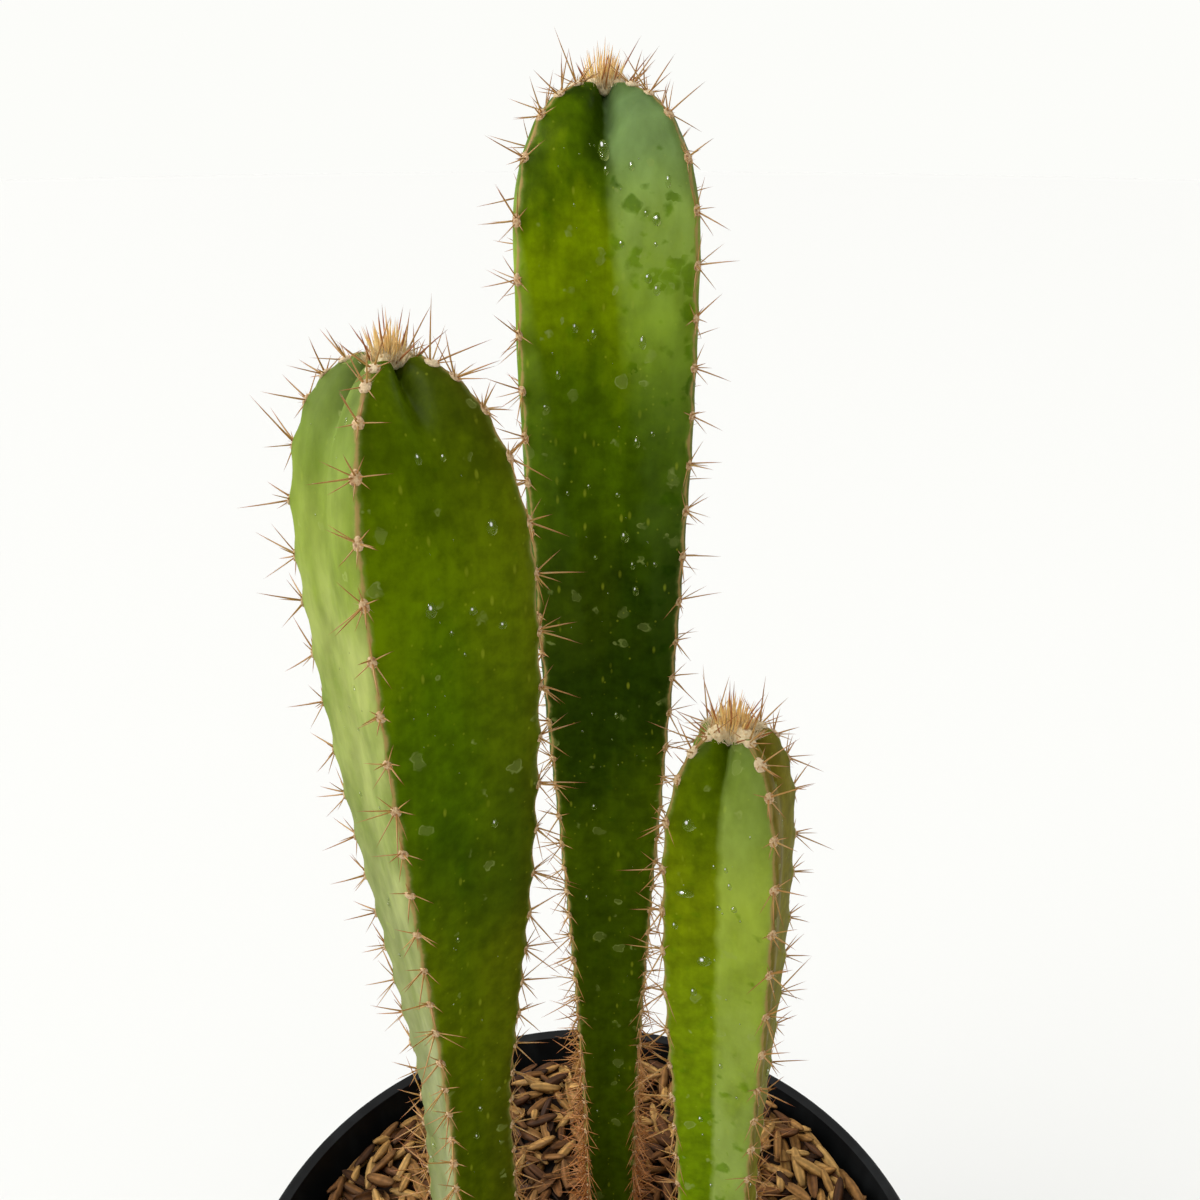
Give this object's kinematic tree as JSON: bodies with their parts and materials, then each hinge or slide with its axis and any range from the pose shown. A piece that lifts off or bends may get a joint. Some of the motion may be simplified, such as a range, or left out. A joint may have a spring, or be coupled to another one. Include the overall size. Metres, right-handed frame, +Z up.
{
  "type": "potted columnar cactus",
  "caption": "Upright columnar cacti with ribs, areoles, spines and golden crowns, rooted in husk-topped potting mix in a round plastic nursery pot.",
  "frame": {"origin": "centre of the pot's underside, on the surface it stands on", "axes": "+Z up along the pot's axis; the picture looks along +Y, with +X to its right"},
  "size_m": [0.15, 0.15, 0.3704],
  "materials": {
    "pot_plastic": "satin black moulded polypropylene",
    "potting_mix": "dark loose potting mix",
    "rice_husk": "dry tan and brown rice husks",
    "cactus_skin": "waxy olive and grey-green skin",
    "young_spines": "golden spines in cream wool"
  },
  "bodies": {
    "root": {"pot": "pot_plastic", "potting_mix": "potting_mix", "husk_layer": "rice_husk", "stem_tall": "cactus_skin", "stem_left": "cactus_skin", "stem_short": "cactus_skin", "crown_tall": "young_spines", "crown_left": "young_spines", "crown_short": "young_spines"}
  },
  "joints": []
}
